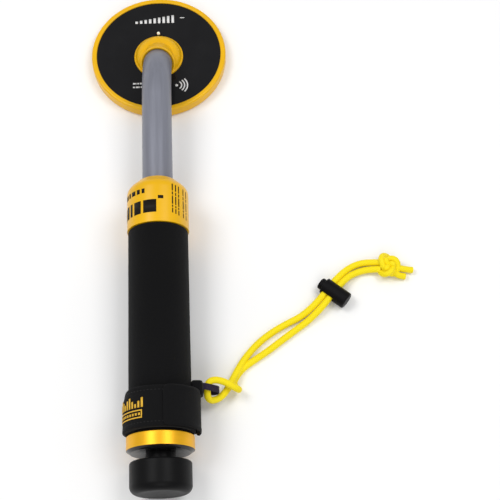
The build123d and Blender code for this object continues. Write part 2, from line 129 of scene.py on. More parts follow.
class PinpointerSizes(PropertyGroup):
    """Sizes of the pieces that are not hard parts."""

    cord_diameter: FloatProperty(
        name="Cord diameter", description="Thickness of the elastic cord",
        default=5.5 * MM, min=3 * MM, max=8 * MM, subtype="DISTANCE", unit="LENGTH")
    knot_strand: FloatProperty(
        name="Knot strand", description="Thickness of the cord where the knot squeezes it",
        default=4.9 * MM, min=3 * MM, max=6 * MM, subtype="DISTANCE", unit="LENGTH")
    knot_reach: FloatProperty(
        name="Knot reach", description="Distance of the knot's bights from its middle",
        default=6.1 * MM, min=4 * MM, max=9 * MM, subtype="DISTANCE", unit="LENGTH")
    grip_radius: FloatProperty(
        name="Grip radius", description="Outer radius of the foam sleeve",
        default=24.25 * MM, min=22 * MM, max=25 * MM, subtype="DISTANCE", unit="LENGTH")
    grip_unevenness: FloatProperty(
        name="Grip unevenness", description="Height of the foam's soft dents",
        default=0.16 * MM, min=0, max=1 * MM, subtype="DISTANCE", unit="LENGTH")
    stitch_length: FloatProperty(
        name="Stitch length", description="Length of one stitch on the strap",
        default=2.1 * MM, min=1 * MM, max=4 * MM, subtype="DISTANCE", unit="LENGTH")
    print_height: FloatProperty(
        name="Print height", description="Thickness of the printed marks",
        default=0.06 * MM, min=0.02 * MM, max=0.3 * MM, subtype="DISTANCE", unit="LENGTH")
    level_bars: IntProperty(
        name="Level bars", description="Number of bars in the signal mark on the head",
        default=9, min=3, max=15)


class PinpointerColours(PropertyGroup):
    """Colours of the finishes."""

    housing: FloatVectorProperty(
        name="Housing", description="Yellow of the moulded housing", subtype="COLOR",
        size=3, min=0, max=1, default=shade(233, 178, 2))
    ring: FloatVectorProperty(
        name="Ring", description="Gold of the anodised ring", subtype="COLOR",
        size=3, min=0, max=1, default=shade(240, 178, 12))
    pipe: FloatVectorProperty(
        name="Pipe", description="Grey of the pipe", subtype="COLOR",
        size=3, min=0, max=1, default=shade(126, 128, 139))
    cord: FloatVectorProperty(
        name="Cord", description="Yellow of the elastic cord", subtype="COLOR",
        size=3, min=0, max=1, default=shade(250, 228, 8))
    fabric: FloatVectorProperty(
        name="Fabric", description="Black of the grip and strap", subtype="COLOR",
        size=3, min=0, max=1, default=shade(16, 16, 17))
    print_light: FloatVectorProperty(
        name="Light print", description="White of the marks on the head", subtype="COLOR",
        size=3, min=0, max=1, default=shade(225, 225, 225))


class PinpointerStage(PropertyGroup):
    """Camera and light."""

    lens: FloatProperty(
        name="Lens", description="Focal length of the camera, in millimetres",
        default=82.8, min=20, max=200)
    position: FloatVectorProperty(
        name="Camera position", description="Where the camera stands", subtype="TRANSLATION",
        size=3, default=(0.0582, -0.5945, 0.8750))
    pitch: FloatProperty(
        name="Pitch", description="Angle of the camera from straight down",
        default=radians(24.73), subtype="ANGLE", unit="ROTATION")
    turn: FloatProperty(
        name="Turn", description="Angle of the camera about the upright axis",
        default=radians(-2.29), subtype="ANGLE", unit="ROTATION")
    sky: FloatProperty(
        name="Sky", description="Strength of the light from all round",
        default=0.5, min=0, max=3)
    softbox_power: FloatProperty(
        name="Softbox power", description="Power of each side light, in watts",
        default=9.5, min=0, max=200)


# ------------------------------------------------------------------ mesh helpers


def settle(piece, replaced):
    """Puts a piece in the scene, on its body and in place of the plain parts it stands for."""
    bpy.context.scene.collection.objects.link(piece)
    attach(piece, BODY)
    if replaced:
        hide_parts(*replaced)
    return piece


def make_piece(name, mesh, material, place, replaced=()):
    """Turns a bmesh into a piece of the object, moved to its place."""
    mesh.transform(place)
    data = bpy.data.meshes.new(name)
    mesh.to_mesh(data)
    mesh.free()
    for face in data.polygons:
        face.use_smooth = True
    data.materials.append(material)
    return settle(bpy.data.objects.new(name, data), replaced)


def spin_profile(mesh, points, steps):
    """Spins (radius, height) points about the upright axis into a closed surface."""
    rail = [mesh.verts.new((radius, 0, height)) for radius, height in points]
    edges = [mesh.edges.new(pair) for pair in zip(rail, rail[1:])]
    bmesh.ops.spin(mesh, geom=rail + edges, cent=(0, 0, 0), axis=(0, 0, 1), dvec=(0, 0, 0),
                   angle=2 * pi, steps=steps, use_merge=True, use_duplicate=False)
    bmesh.ops.remove_doubles(mesh, verts=mesh.verts, dist=1e-7)
    bmesh.ops.recalc_face_normals(mesh, faces=mesh.faces)


def rounded_tube_profile(inner, outer, start, end, edge, rows):
    """Closed outline of a thick tube's wall with rounded outer corners."""
    corner = 5
    points = [(inner, start), (outer - edge, start)]
    points += [(outer - edge + edge * sin(a), start + edge - edge * cos(a))
               for a in (pi / 2 * i / corner for i in range(1, corner + 1))]
    points += [(outer, start + edge + (end - start - 2 * edge) * i / rows)
               for i in range(1, rows)]
    points += [(outer - edge + edge * cos(a), end - edge + edge * sin(a))
               for a in (pi / 2 * i / corner for i in range(0, corner + 1))]
    points += [(inner, end), (inner, start)]
    return points


def flat_patch(mesh, left, right, low, high, across, along=1):
    """A flat rectangle of small faces in the plane, for bending afterwards."""
    grid = bmesh.ops.create_grid(mesh, x_segments=across, y_segments=along, size=0.5)
    for vert in grid["verts"]:
        vert.co.x = left + (vert.co.x + 0.5) * (right - left)
        vert.co.y = low + (vert.co.y + 0.5) * (high - low)
    return grid["verts"]


def thicken(mesh, depth):
    """Gives flat marks a raised body under their printed face."""
    bmesh.ops.recalc_face_normals(mesh, faces=mesh.faces)
    top = list(mesh.faces)
    for face in top:
        if face.normal.z < 0:
            face.normal_flip()
    grown = bmesh.ops.extrude_face_region(mesh, geom=top, use_keep_orig=True)
    raised = [item for item in grown["geom"] if isinstance(item, bmesh.types.BMVert)]
    bmesh.ops.translate(mesh, verts=raised, vec=(0, 0, depth))
    bmesh.ops.recalc_face_normals(mesh, faces=mesh.faces)


def wrap_round(mesh, round_shape):
    """Bends a flat mesh round the handle: x becomes arc length from the top, y the station."""
    across, up, radius = round_shape
    for vert in mesh.verts:
        turn = vert.co.x / radius
        reach = radius + vert.co.z
        vert.co = Vector((across + reach * sin(turn), up + reach * cos(turn), vert.co.y))


def cord_piece(name, routes, diameter, material, node, cyclic=False):
    """Round cord, one strand or several, on smooth splines through control points."""
    curve = bpy.data.curves.new(name, "CURVE")
    curve.dimensions = "3D"
    curve.bevel_depth = diameter / 2
    curve.bevel_resolution = 6
    curve.resolution_u = 10
    curve.use_fill_caps = not cyclic
    for route in routes:
        spline = curve.splines.new("NURBS")
        spline.points.add(len(route) - 1)
        for point, place in zip(spline.points, route):
            point.co = (*place, 1)
        spline.order_u = 3
        spline.use_endpoint_u = not cyclic
        spline.use_cyclic_u = cyclic
    curve.materials.append(material)
    return settle(bpy.data.objects.new(name, curve), (node,))


# ------------------------------------------------------------------ finishes


class Finish:
    """One procedural material, built up from a base and its fine detail."""

    def __init__(self, name, metallic=0.0, coat=0.0, specular=0.5, sheen=0.0, ior=1.5):
        self.material = bpy.data.materials.new(name)
        self.material.use_nodes = True
        self.tree = self.material.node_tree
        self.shader = next(n for n in self.tree.nodes if n.type == "BSDF_PRINCIPLED")
        settings = {"Metallic": metallic, "Coat Weight": coat, "Coat Roughness": 0.12,
                    "Specular IOR Level": specular, "Sheen Weight": sheen,
                    "Sheen Roughness": 0.5, "IOR": ior}
        for socket, value in settings.items():
            self.shader.inputs[socket].default_value = value
        self.normal = None
        self.object_place = self.node("ShaderNodeTexCoord").outputs["Object"]

    def node(self, kind, inputs=None, **settings):
        made = self.tree.nodes.new(kind)
        for key, value in settings.items():
            setattr(made, key, value)
        for key, value in (inputs or {}).items():
            if isinstance(value, bpy.types.NodeSocket):
                self.tree.links.new(value, made.inputs[key])
            else:
                made.inputs[key].default_value = value
        return made

    def place(self, scale=(1, 1, 1), turn=(0, 0, 0)):
        return self.node("ShaderNodeMapping", {
            "Vector": self.object_place, "Scale": scale, "Rotation": turn}).outputs["Vector"]

    def noise(self, scale, detail=3.0, source=None):
        return self.node("ShaderNodeTexNoise", {
            "Vector": source or self.object_place, "Scale": scale,
            "Detail": detail}).outputs["Fac"]

    def wave(self, pitch_mm, source, direction="X", distortion=0.0):
        """Bands one pitch apart. The texture's scale counts twenty radians to the unit."""
        return self.node("ShaderNodeTexWave", {
            "Vector": source, "Scale": 2 * pi / (20 * pitch_mm * MM),
            "Distortion": distortion, "Detail": 1.0},
            bands_direction=direction).outputs["Fac"]

    def ramp(self, factor, stops):
        ramp = self.node("ShaderNodeValToRGB", {"Fac": factor})
        elements = ramp.color_ramp.elements
        while len(elements) < len(stops):
            elements.new(0.5)
        for element, (position, colour) in zip(elements, stops):
            element.position = position
            element.color = (*colour, 1)
        return ramp.outputs["Color"]

    def maths(self, operation, first, second=0.0):
        return self.node("ShaderNodeMath", {0: first, 1: second},
                         operation=operation).outputs["Value"]

    def colour(self, factor, first, second):
        self.paint(self.ramp(factor, [(0.3, first), (0.7, second)]))

    def paint(self, socket):
        self.tree.links.new(socket, self.shader.inputs["Base Color"])

    def roughness(self, factor, low, high):
        spread = self.node("ShaderNodeMapRange", {
            "Value": factor, "To Min": low, "To Max": high}).outputs["Result"]
        self.tree.links.new(spread, self.shader.inputs["Roughness"])

    def bump(self, height, depth_mm):
        settings = {"Height": height, "Distance": depth_mm * MM, "Strength": 1.0}
        if self.normal is not None:
            settings["Normal"] = self.normal
        self.normal = self.node("ShaderNodeBump", settings).outputs["Normal"]
        self.tree.links.new(self.normal, self.shader.inputs["Normal"])


def varied(colour, amount):
    """A slightly lighter or darker neighbour of a colour."""
    return tuple(min(1.0, part * (1 + amount)) for part in colour)


def moulded(name, colour, rough, grain=1400.0, grain_depth=0.012, spread=0.06, **settings):
    """Moulded plastic: faint mottle, uneven gloss and a fine skin."""
    finish = Finish(name, **settings)
    mottle = finish.noise(34.0, 4.0)
    finish.colour(mottle, varied(colour, -spread), varied(colour, spread))
    finish.roughness(finish.noise(120.0, 5.0), rough - 0.05, rough + 0.08)
    finish.bump(finish.noise(grain, 2.0), grain_depth)
    return finish.material


def turned_metal(name, colour, rough, pitch_mm=0.32, metallic=1.0, lean=0.0, spread=0.05,
                 depth=0.01, **settings):
    """Metal with fine turning lines across its axis."""
    finish = Finish(name, metallic=metallic, **settings)
    lines = finish.wave(pitch_mm, finish.place(turn=(lean, 0, 0)), "Y", 0.4)
    streaks = finish.noise(1.0, 4.0, finish.place((40, 1500, 40), (lean, 0, 0)))
    finish.colour(streaks, varied(colour, -spread), varied(colour, spread))
    finish.roughness(streaks, rough - 0.05, rough + 0.09)
    finish.bump(lines, depth)
    finish.bump(finish.noise(2200.0, 2.0), depth / 2)
    return finish.material


def gloss_black_plate():
    """Polished black plate with hairline wiping marks."""
    finish = Finish("gloss_black_plate", specular=0.2)
    hairlines = finish.noise(1.0, 6.0, finish.place((26, 900, 26), (0, 0, 0.5)))
    finish.colour(finish.noise(45.0, 4.0), shade(18, 18, 20), shade(24, 24, 26))
    finish.roughness(hairlines, 0.1, 0.24)
    finish.bump(finish.noise(160.0, 2.0), 0.006)
    finish.bump(hairlines, 0.002)
    return finish.material


def satin_pipe(colour):
    """Grey anodised tube, drawn lengthwise, with a bead-blasted skin."""
    finish = Finish("satin_pipe", metallic=0.25, specular=0.35)
    drawn = finish.noise(1.0, 4.0, finish.place((420, 9, 420)))
    finish.colour(drawn, varied(colour, -0.07), varied(colour, 0.07))
    finish.roughness(drawn, 0.34, 0.48)
    finish.bump(drawn, 0.006)
    finish.bump(finish.noise(2600.0, 2.0), 0.008)
    return finish.material


def knit_fabric(name, colour, pitch_mm=0.75, depth=0.09, spread=0.22):
    """Knitted face cloth over foam: small ribs and loops on the piece's own map, in metres, with
    painted shade in the knit's hollows.
    """
    finish = Finish(name, specular=0.08, sheen=0.04)
    cloth = finish.node("ShaderNodeUVMap", uv_map="cloth").outputs["UV"]
    ribs = finish.wave(pitch_mm, cloth, "X", 0.3)
    loops = finish.wave(pitch_mm / 0.72, cloth, "Y", 0.5)
    knit = finish.maths("MULTIPLY", ribs, loops)
    fluff = finish.noise(900.0, 4.0)
    worn = finish.noise(22.0, 5.0)
    # The cloth is darker in the hollows between ribs and loops and lighter on their crests,
    # painted shade and light on the knit's relief, mixed with a random broad mottle.
    knit_shade_and_mottle = finish.maths("ADD", finish.maths("MULTIPLY", knit, 0.55),
                             finish.maths("MULTIPLY", worn, 0.5))
    finish.paint(finish.ramp(knit_shade_and_mottle, [(0.15, varied(colour, -spread)),
                                         (0.85, varied(colour, spread * 1.6))]))
    finish.roughness(fluff, 0.78, 0.96)
    finish.bump(knit, depth)
    finish.bump(fluff, depth * 0.6)
    return finish.material


def woven_webbing(name, colour):
    """Flat woven nylon: warp ribs crossed by weft on the piece's own map, with painted shade
    between the ribs.
    """
    pitch_mm, depth, spread = 0.9, 0.12, 0.25
    finish = Finish(name, specular=0.15, sheen=0.06)
    cloth = finish.node("ShaderNodeUVMap", uv_map="cloth").outputs["UV"]
    slanted = finish.node("ShaderNodeMapping", {
        "Vector": cloth, "Rotation": (0, 0, radians(40))}).outputs["Vector"]
    warp = finish.wave(pitch_mm, cloth, "Y", 0.15)
    weft = finish.wave(pitch_mm / 1.3, slanted, "X", 0.15)
    weave = finish.maths("MAXIMUM", finish.maths("MULTIPLY", warp, 0.9), weft)
    # The webbing is darker between the ribs and lighter on their crests: painted shade and light
    # on the weave's relief.
    finish.paint(finish.ramp(weave, [(0.1, varied(colour, -spread)),
                                     (0.95, varied(colour, spread * 1.5))]))
    finish.roughness(finish.noise(500.0, 4.0), 0.5, 0.75)
    finish.bump(weave, depth)
    finish.bump(finish.noise(1800.0, 3.0), depth * 0.3)
    return finish.material


def braided_cord(name, colour, plaits_along):
    """Braided sleeve over rubber: two sets of strands crossing round the cord, with painted shade
    in the grooves between the strands.
    """
    plaits_round, depth = 8.0, 0.1
    # Darkening of the cord's colour in the grooves between the plaits: painted shade.
    painted_groove_shade = (0.9, 0.8, 0.5)
    finish = Finish(name, specular=0.25, sheen=0.05)
    round_it = finish.node("ShaderNodeTexCoord").outputs["UV"]
    parts = finish.node("ShaderNodeSeparateXYZ", {"Vector": round_it})
    along = finish.maths("MULTIPLY", parts.outputs["X"], plaits_along * pi)
    turn = finish.maths("MULTIPLY", parts.outputs["Y"], plaits_round * pi)
    left = finish.maths("ABSOLUTE", finish.maths(
        "SINE", finish.maths("ADD", along, turn)))
    right = finish.maths("ABSOLUTE", finish.maths(
        "SINE", finish.maths("SUBTRACT", along, turn)))
    plait = finish.maths("MULTIPLY", left, right)
    fibres = finish.noise(2400.0, 3.0)
    plait_shade_and_fibres = finish.maths("ADD", finish.maths("MULTIPLY", plait, 0.75),
                         finish.maths("MULTIPLY", fibres, 0.25))
    # The colour runs from painted shade in the grooves to a faintly lighter tone on the plaits'
    # crests (painted light), mixed with random fibre tone.
    finish.paint(finish.ramp(plait_shade_and_fibres, [
        (0.0, tuple(part * k for part, k in zip(colour, painted_groove_shade))),
        (0.32, varied(colour, -0.02)), (1.0, varied(colour, 0.06))]))
    finish.roughness(fibres, 0.42, 0.66)
    finish.bump(plait, depth)
    finish.bump(fibres, depth * 0.12)
    return finish.material


def circuit_green():
    """Green solder mask over traces."""
    finish = Finish("circuit_green", coat=0.3)
    cells = finish.node("ShaderNodeTexVoronoi", {
        "Vector": finish.object_place, "Scale": 260.0}, feature="DISTANCE_TO_EDGE")
    traces = finish.maths("LESS_THAN", cells.outputs["Distance"], 0.05)
    finish.paint(finish.ramp(traces, [(0.0, shade(16, 84, 44)), (1.0, shade(52, 132, 74))]))
    finish.roughness(finish.noise(300.0), 0.25, 0.4)
    finish.bump(traces, 0.03)
    return finish.material


def signal_lens():
    """Milky dome of the indicator."""
    finish = Finish("signal_lens", coat=0.6, ior=1.49)
    finish.colour(finish.noise(700.0), shade(246, 243, 214), shade(255, 253, 236))
    finish.roughness(finish.noise(900.0), 0.08, 0.18)
    finish.shader.inputs["Subsurface Weight"].default_value = 0.3
    finish.shader.inputs["Subsurface Scale"].default_value = 1 * MM
    finish.bump(finish.noise(1500.0, 2.0), 0.004)
    return finish.material


def striped_wrap(name, first, second, pitch_mm):
    """Printed plastic wrap with plain bands."""
    finish = Finish(name, coat=0.2)
    bands = finish.wave(pitch_mm, finish.object_place, "Y")
    finish.paint(finish.ramp(bands, [(0.62, first), (0.68, second)]))
    finish.roughness(finish.noise(300.0), 0.29, 0.45)
    finish.bump(finish.noise(700.0, 3.0), 0.02)
    return finish.material


def cad_finishes(colours):
    """Every finish of a hard part, by the name of its material slot."""
    return {
        "yellow_housing": moulded("housing_yellow", tuple(colours.housing), 0.3, 900.0, 0.014,
                                  0.05, specular=0.3, coat=0.06),
        "anodised_ring": turned_metal("gold_anodised", tuple(colours.ring), 0.36, metallic=0.5,
                                      lean=-HANDLE_LEAN, spread=0.03, depth=0.004),
        "face_black": gloss_black_plate(),
        "knob_black": moulded("satin_black", shade(13, 13, 14), 0.4, 2200.0, 0.02, 0.1,
                              specular=0.1),
        "dark_plate": turned_metal("dark_plate", shade(40, 40, 42), 0.16, 0.5, metallic=0.7,
                                   lean=-HANDLE_LEAN, depth=0.004),
        "pipe_grey": satin_pipe(tuple(colours.pipe)),
        "lock_black": moulded("lock_black", shade(12, 11, 13), 0.42, 1700.0, 0.03, 0.12,
                              specular=0.1),
        "seal_rubber": moulded("seal_rubber", shade(16, 16, 16), 0.6, 900.0, 0.02),
        "led_white": signal_lens(),
        "copper": turned_metal("copper_winding", shade(190, 104, 52), 0.3, 0.45),
        "potting": moulded("potting_resin", shade(36, 32, 30), 0.2, 200.0, 0.06),
        "inner_plastic": moulded("inner_plastic", shade(196, 194, 186), 0.5),
        "tube_shell": turned_metal("tube_shell", shade(172, 176, 180), 0.32, 0.6,
                                   lean=-HANDLE_LEAN),
        "board_green": circuit_green(),
        "chip_black": moulded("chip_black", shade(26, 26, 28), 0.55, 2600.0, 0.02),
        "can_blue": striped_wrap("can_blue", shade(28, 58, 130), shade(196, 200, 206), 9.0),
        "steel": turned_metal("bright_steel", shade(186, 186, 188), 0.22, 0.2),
        "brass": turned_metal("brass", shade(206, 170, 86), 0.26, 0.25),
        "battery_wrap": striped_wrap("battery_wrap", shade(52, 54, 58), shade(190, 150, 70),
                                     60.0),
        "wire_jacket": moulded("wire_jacket", shade(46, 46, 50), 0.45, 1400.0, 0.02),
    }


# ------------------------------------------------------------------ operators


class PINPOINTER_OT_stage(Operator):
    """Sets up the camera, the pale floor and the soft lights"""

    bl_idname = "pinpointer.stage"
    bl_label = "Stage"

    def execute(self, context):
        stage = context.scene.pinpointer_stage
        camera = bpy.data.cameras.new("camera")
        camera.lens = stage.lens
        camera.sensor_width = 36.0
        camera.clip_start = 0.01
        viewer = bpy.data.objects.new("camera", camera)
        viewer.location = stage.position
        viewer.rotation_euler = (stage.pitch, 0, stage.turn)
        context.scene.collection.objects.link(viewer)
        context.scene.camera = viewer
        context.scene.view_settings.view_transform = "Standard"
        self.floor(context)
        self.sky(context, stage.sky)
        for name, place, size, power, aim in (
            ("softbox_left", (-0.75, 0.05, 1.5), 0.7, 1.0, (0, -0.2, 0)),
            ("softbox_right", (0.75, 0.0, 1.5), 0.7, 0.8, (0, -0.2, 0)),
            ("softbox_front", (0.1, -1.7, 1.3), 1.0, 0.7, (0, -0.25, 0)),
        ):
            self.softbox(context, name, Vector(place), size, power * stage.softbox_power,
                         Vector(aim))
        return {"FINISHED"}

    def floor(self, context):
        mesh = bmesh.new()
        bmesh.ops.create_grid(mesh, x_segments=4, y_segments=4, size=6.0)
        data = bpy.data.meshes.new("floor")
        mesh.to_mesh(data)
        mesh.free()
        finish = Finish("pale_floor", specular=0.1)
        finish.colour(finish.noise(3.0), (0.93, 0.93, 0.93), (0.95, 0.95, 0.95))
        finish.roughness(finish.noise(8.0), 0.85, 0.95)
        data.materials.append(finish.material)
        floor = bpy.data.objects.new("floor", data)
        context.scene.collection.objects.link(floor)

    def sky(self, context, strength):
        world = bpy.data.worlds.new("studio")
        world.use_nodes = True
        background = next(n for n in world.node_tree.nodes if n.type == "BACKGROUND")
        background.inputs["Color"].default_value = (1, 1, 1, 1)
        background.inputs["Strength"].default_value = strength
        context.scene.world = world

    def softbox(self, context, name, place, size, power, aim):
        light = bpy.data.lights.new(name, "AREA")
        light.shape = "SQUARE"
        light.size = size
        light.energy = power
        lamp = bpy.data.objects.new(name, light)
        lamp.location = place
        lamp.rotation_euler = (aim - place).to_track_quat("-Z", "Y").to_euler()
        context.scene.collection.objects.link(lamp)


class PINPOINTER_OT_cord(Operator):
    """Lays the two legs of the elastic cord, hitched to the webbing loop"""

    bl_idname = "pinpointer.cord"
    bl_label = "Cord legs"

    def execute(self, context):
        sizes = context.scene.pinpointer_sizes
        colour = tuple(context.scene.pinpointer_colours.cord)
        finish = braided_cord("cord_braid", colour, 90.0)
        leg_one = cord_piece("cord_leg_one", [LEG_A], sizes.cord_diameter, finish, "cord_leg_a")
        leg_two = cord_piece("cord_leg_two", [LEG_B], sizes.cord_diameter, finish, "cord_leg_b")
        knot = self.knot(sizes, colour)
        slimming = 0.96
        tails = cord_piece("cord_ends", TAILS, sizes.cord_diameter * slimming,
                           braided_cord("ends_braid", colour, 8.0), "cord_tails")
        return {"FINISHED"}

    def knot(self, sizes, colour):
        """The overhand knot, tied in both strands laid side by side."""
        # A trefoil, whose bights reach three of its units from the middle.
        reach = sizes.knot_reach / 3
        rise, tilt = 3.5 * MM, 0.2 * MM
        gap = sizes.knot_strand * 0.43
        turned = radians(-40)
        stretch = 1.2
        control_points = 30
        strands = []
        for side in (-1, 1):
            strand = []
            for step in range(control_points):
                t = 2 * pi * step / control_points
                x, y = sin(t) + 2 * sin(2 * t), cos(t) - 2 * cos(2 * t)
                dx, dy = cos(t) + 4 * cos(2 * t), -sin(t) + 4 * sin(2 * t)
                speed = sqrt(dx * dx + dy * dy)
                x = x * reach + side * gap * dy / speed
                y = y * reach - side * gap * dx / speed
                z = -rise * sin(3 * t) + side * tilt * cos(2 * t)
                strand.append((
                    KNOT_CENTRE[0] + x * cos(turned) - y * sin(turned),
                    KNOT_CENTRE[1] + stretch * (x * sin(turned) + y * cos(turned)),
                    KNOT_CENTRE[2] + z))
            strands.append(strand)
        return cord_piece("overhand_knot", strands, sizes.knot_strand,
                          braided_cord("knot_braid", colour, 30.0), "cord_knot", cyclic=True)


class PINPOINTER_OT_grip(Operator):
    """Builds the foam grip sleeve with its knitted skin"""

    bl_idname = "pinpointer.grip"
    bl_label = "Foam grip"

    def execute(self, context):
        sizes = context.scene.pinpointer_sizes
        rim, rows, steps = 1.2 * MM, 110, 160
        mesh = bmesh.new()
        spin_profile(mesh, rounded_tube_profile(GRIP_BORE, sizes.grip_radius, GRIP_START,
                                                GRIP_END, rim, rows), steps)
        self.soften(mesh, sizes.grip_unevenness)
        cloth_map(mesh, sizes.grip_radius)
        finish = knit_fabric("foam_knit", tuple(context.scene.pinpointer_colours.fabric))
        grip = make_piece("foam_grip", mesh, finish, HANDLE,
                          ("grip_sleeve",))
        return {"FINISHED"}

    def soften(self, mesh, unevenness):
        """Presses broad shallow dents into the sleeve and tucks it under the strap."""
        broad, fine = 38.0, 150.0
        tuck, tuck_run = 0.25 * MM, 4 * MM
        for vert in mesh.verts:
            across = Vector((vert.co.x, vert.co.y, 0))
            if across.length < GRIP_BORE + 0.5 * MM:
                continue
            dent = noise.noise(vert.co * broad) + 0.35 * noise.noise(vert.co * fine)
            under = min(1.0, max(0.0, (vert.co.z - STRAP_START) / tuck_run))
            change = -unevenness * (0.6 + 0.6 * dent) - tuck * under
            vert.co += across.normalized() * change


def cloth_map(mesh, radius, axis=(0.0, 0.0)):
    """Gives a round piece a map of arc length and station, in metres."""
    layer = mesh.loops.layers.uv.new("cloth")
    for face in mesh.faces:
        angles = []
        for loop in face.loops:
            x, y = loop.vert.co.x - axis[0], loop.vert.co.y - axis[1]
            length = sqrt(x * x + y * y) or 1.0
            angle = acos(max(-1.0, min(1.0, y / length)))
            angles.append(angle if x >= 0 else -angle)
        if max(angles) - min(angles) > pi:
            angles = [a + 2 * pi if a < 0 else a for a in angles]
        for loop, angle in zip(face.loops, angles):
            loop[layer].uv = (angle * radius, loop.vert.co.z)


def flat_map(mesh):
    """Gives a flat strip a map of its own length and width, in metres."""
    layer = mesh.loops.layers.uv.new("cloth")
    for face in mesh.faces:
        for loop in face.loops:
            loop[layer].uv = (loop.vert.co.x, loop.vert.co.y)


def cloth_strip(length_range, width_range, thickness, hem, corner, steps,
                wave=0.15 * MM, seed=0.0):
    """A flat strip of strap fabric with rolled hems and rounded corners, ready to be bent."""
    left, right = length_range
    low, high = width_range
    rows, roll_height = 26, 0.28 * MM
    mesh = bmesh.new()
    verts = flat_patch(mesh, left, right, low, high, steps, rows)
    for vert in verts:
        x, y = vert.co.x, vert.co.y
        to_end = min(x - left, right - x)
        to_side = min(y - low, high - y)
        if to_end < corner:
            # The corners are cut to a quarter round by drawing the sides in.
            inset = corner - sqrt(max(0.0, corner ** 2 - (corner - to_end) ** 2))
            half = (high - low) / 2
            middle = (high + low) / 2
            vert.co.y = middle + (y - middle) * (half - inset) / half
        edge = min(to_end, to_side)
        roll = sin(pi * min(1.0, edge / hem)) if edge < hem else 0.0
        puff = noise.noise(Vector((x * 60, y * 90, seed)))
        vert.co.z = roll_height * roll + wave * puff
    flat_map(mesh)
    bmesh.ops.recalc_face_normals(mesh, faces=mesh.faces)
    for face in mesh.faces:
        if face.normal.z < 0:
            face.normal_flip()
    bmesh.ops.solidify(mesh, geom=mesh.faces[:], thickness=thickness)
    return mesh


def stitch_row(mesh, start, end, station, length, height):
    """A row of short rounded stitches along a flat strip."""
    pitch, thread = length * 1.35, 0.42 * MM
    shape = Matrix.Diagonal((length, thread, thread, 1))
    for index in range(int((end - start) / pitch)):
        place = Matrix.Translation((start + pitch * (index + 0.5), station, height))
        stitch = bmesh.ops.create_icosphere(mesh, subdivisions=1, radius=0.5)
        bmesh.ops.transform(mesh, matrix=place @ shape, verts=stitch["verts"])


